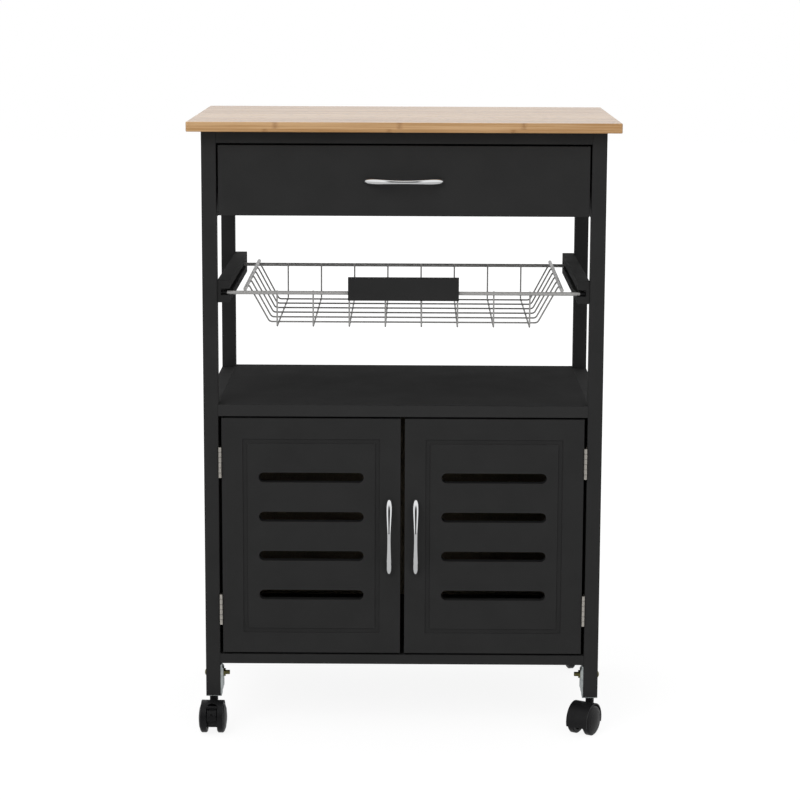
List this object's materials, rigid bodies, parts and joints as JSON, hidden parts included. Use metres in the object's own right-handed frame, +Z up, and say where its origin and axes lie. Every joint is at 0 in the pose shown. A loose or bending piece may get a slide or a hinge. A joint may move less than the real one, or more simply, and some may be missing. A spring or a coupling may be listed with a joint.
{
  "type": "kitchen cart",
  "caption": "Kitchen cart with a bamboo top on a black frame, a drawer, a pull-out wire basket, a closed cabinet with vented doors, and twin-wheel casters.",
  "frame": {"origin": "on the floor, under the middle of the worktop", "axes": "+X to the cart's right as seen from the front, +Y to its back, +Z up"},
  "size_m": [0.58, 0.4177, 0.846],
  "materials": {
    "bamboo": "satin",
    "black_paint": "satin",
    "black_board": "matte",
    "chrome": "polished",
    "nickel_wire": "polished",
    "brushed_nickel": "brushed",
    "zinc": "satin",
    "black_plastic": "semi_gloss"
  },
  "bodies": {
    "cart_frame": {"worktop": "bamboo", "leg_front_left": "black_paint", "leg_front_right": "black_paint", "leg_back_left": "black_paint", "leg_back_right": "black_paint", "front_top_rail": "black_paint", "back_board": "black_paint", "side_aprons": "black_paint", "shelf_board": "black_paint", "cabinet_floor": "black_paint", "cabinet_back": "black_paint", "cabinet_side_rails": "black_paint", "cabinet_side_panels": "black_paint", "drawer_runners": "black_board", "basket_tracks": "black_paint", "frame_screws": "brushed_nickel", "hinge_frame_leaves": "brushed_nickel", "hinge_pins": "brushed_nickel", "door_catches": "black_plastic", "caster_brackets": "zinc", "caster_bolts_and_nuts": "zinc", "caster_stems": "brushed_nickel"},
    "drawer": {"drawer_front": "black_paint", "drawer_sides": "black_board", "drawer_back": "black_board", "drawer_bottom": "black_board", "drawer_handle": "chrome", "drawer_handle_screws": "brushed_nickel"},
    "basket": {"basket_rim_rods": "nickel_wire", "basket_long_wires": "nickel_wire", "basket_cross_wires": "nickel_wire", "basket_grip": "black_paint"},
    "left_door": {"left_door_panel": "black_paint", "left_door_handle": "chrome", "left_door_handle_screws": "brushed_nickel", "left_door_hinge_leaves": "brushed_nickel", "left_door_strike_plate": "brushed_nickel"},
    "right_door": {"right_door_panel": "black_paint", "right_door_handle": "chrome", "right_door_handle_screws": "brushed_nickel", "right_door_hinge_leaves": "brushed_nickel", "right_door_strike_plate": "brushed_nickel"},
    "caster_front_left_swivel": {"caster_front_left_housing": "black_plastic", "caster_front_left_axle_and_lever_pin": "brushed_nickel"},
    "caster_front_left_left_wheel": {"caster_front_left_wheel_left": "black_plastic"},
    "caster_front_left_right_wheel": {"caster_front_left_wheel_right": "black_plastic"},
    "caster_front_left_lever": {"caster_front_left_brake_lever": "black_plastic"},
    "caster_front_right_swivel": {"caster_front_right_housing": "black_plastic", "caster_front_right_axle": "brushed_nickel"},
    "caster_front_right_left_wheel": {"caster_front_right_wheel_left": "black_plastic"},
    "caster_front_right_right_wheel": {"caster_front_right_wheel_right": "black_plastic"},
    "caster_back_left_swivel": {"caster_back_left_housing": "black_plastic", "caster_back_left_axle": "brushed_nickel"},
    "caster_back_left_left_wheel": {"caster_back_left_wheel_left": "black_plastic"},
    "caster_back_left_right_wheel": {"caster_back_left_wheel_right": "black_plastic"},
    "caster_back_right_swivel": {"caster_back_right_housing": "black_plastic", "caster_back_right_axle_and_lever_pin": "brushed_nickel"},
    "caster_back_right_left_wheel": {"caster_back_right_wheel_left": "black_plastic"},
    "caster_back_right_right_wheel": {"caster_back_right_wheel_right": "black_plastic"},
    "caster_back_right_lever": {"caster_back_right_brake_lever": "black_plastic"}
  },
  "joints": [
    {"name": "drawer_slide", "type": "slide", "parent": "cart_frame", "child": "drawer", "axis": [0, -1, 0], "range_m": [0, 0.24]},
    {"name": "basket_slide", "type": "slide", "parent": "cart_frame", "child": "basket", "axis": [0, -1, 0], "range_m": [0, 0.22]},
    {"name": "left_door_hinge", "type": "hinge", "parent": "cart_frame", "child": "left_door", "pos_m": [-0.2499, -0.1765, 0.2775], "axis": [0, 0, -1], "range_deg": [0, 170]},
    {"name": "right_door_hinge", "type": "hinge", "parent": "cart_frame", "child": "right_door", "pos_m": [0.2499, -0.1765, 0.2775], "axis": [0, 0, 1], "range_deg": [0, 170]},
    {"name": "caster_front_left_swivel_joint", "type": "hinge", "parent": "cart_frame", "child": "caster_front_left_swivel", "pos_m": [-0.262, -0.165, 0.0488], "axis": [0, 0, 1], "continuous": true},
    {"name": "caster_front_left_left_wheel_spin", "type": "hinge", "parent": "caster_front_left_swivel", "child": "caster_front_left_left_wheel", "pos_m": [-0.26231, -0.1825, 0.021], "axis": [0.9998, -0.0175, 0], "continuous": true},
    {"name": "caster_front_left_right_wheel_spin", "type": "hinge", "parent": "caster_front_left_swivel", "child": "caster_front_left_right_wheel", "pos_m": [-0.26231, -0.1825, 0.021], "axis": [0.9998, -0.0175, 0], "continuous": true},
    {"name": "caster_front_left_brake_pivot", "type": "hinge", "parent": "caster_front_left_swivel", "child": "caster_front_left_lever", "pos_m": [-0.26249, -0.19337, 0.02607], "axis": [0.9998, -0.0175, 0], "range_deg": [0, 25]},
    {"name": "caster_front_right_swivel_joint", "type": "hinge", "parent": "cart_frame", "child": "caster_front_right_swivel", "pos_m": [0.262, -0.165, 0.0488], "axis": [0, 0, 1], "continuous": true},
    {"name": "caster_front_right_left_wheel_spin", "type": "hinge", "parent": "caster_front_right_swivel", "child": "caster_front_right_left_wheel", "pos_m": [0.25325, -0.18016, 0.021], "axis": [0.866, -0.5, 0], "continuous": true},
    {"name": "caster_front_right_right_wheel_spin", "type": "hinge", "parent": "caster_front_right_swivel", "child": "caster_front_right_right_wheel", "pos_m": [0.25325, -0.18016, 0.021], "axis": [0.866, -0.5, 0], "continuous": true},
    {"name": "caster_back_left_swivel_joint", "type": "hinge", "parent": "cart_frame", "child": "caster_back_left_swivel", "pos_m": [-0.262, 0.165, 0.0488], "axis": [0, 0, 1], "continuous": true},
    {"name": "caster_back_left_left_wheel_spin", "type": "hinge", "parent": "caster_back_left_swivel", "child": "caster_back_left_left_wheel", "pos_m": [-0.25896, 0.18223, 0.021], "axis": [-0.9848, 0.1736, 0], "continuous": true},
    {"name": "caster_back_left_right_wheel_spin", "type": "hinge", "parent": "caster_back_left_swivel", "child": "caster_back_left_right_wheel", "pos_m": [-0.25896, 0.18223, 0.021], "axis": [-0.9848, 0.1736, 0], "continuous": true},
    {"name": "caster_back_right_swivel_joint", "type": "hinge", "parent": "cart_frame", "child": "caster_back_right_swivel", "pos_m": [0.262, 0.165, 0.0488], "axis": [0, 0, 1], "continuous": true},
    {"name": "caster_back_right_left_wheel_spin", "type": "hinge", "parent": "caster_back_right_swivel", "child": "caster_back_right_left_wheel", "pos_m": [0.26534, 0.14782, 0.021], "axis": [0.9816, 0.1908, 0], "continuous": true},
    {"name": "caster_back_right_right_wheel_spin", "type": "hinge", "parent": "caster_back_right_swivel", "child": "caster_back_right_right_wheel", "pos_m": [0.26534, 0.14782, 0.021], "axis": [0.9816, 0.1908, 0], "continuous": true},
    {"name": "caster_back_right_brake_pivot", "type": "hinge", "parent": "caster_back_right_swivel", "child": "caster_back_right_lever", "pos_m": [0.26741, 0.13715, 0.02607], "axis": [0.9816, 0.1908, 0], "range_deg": [0, 25]}
  ]
}
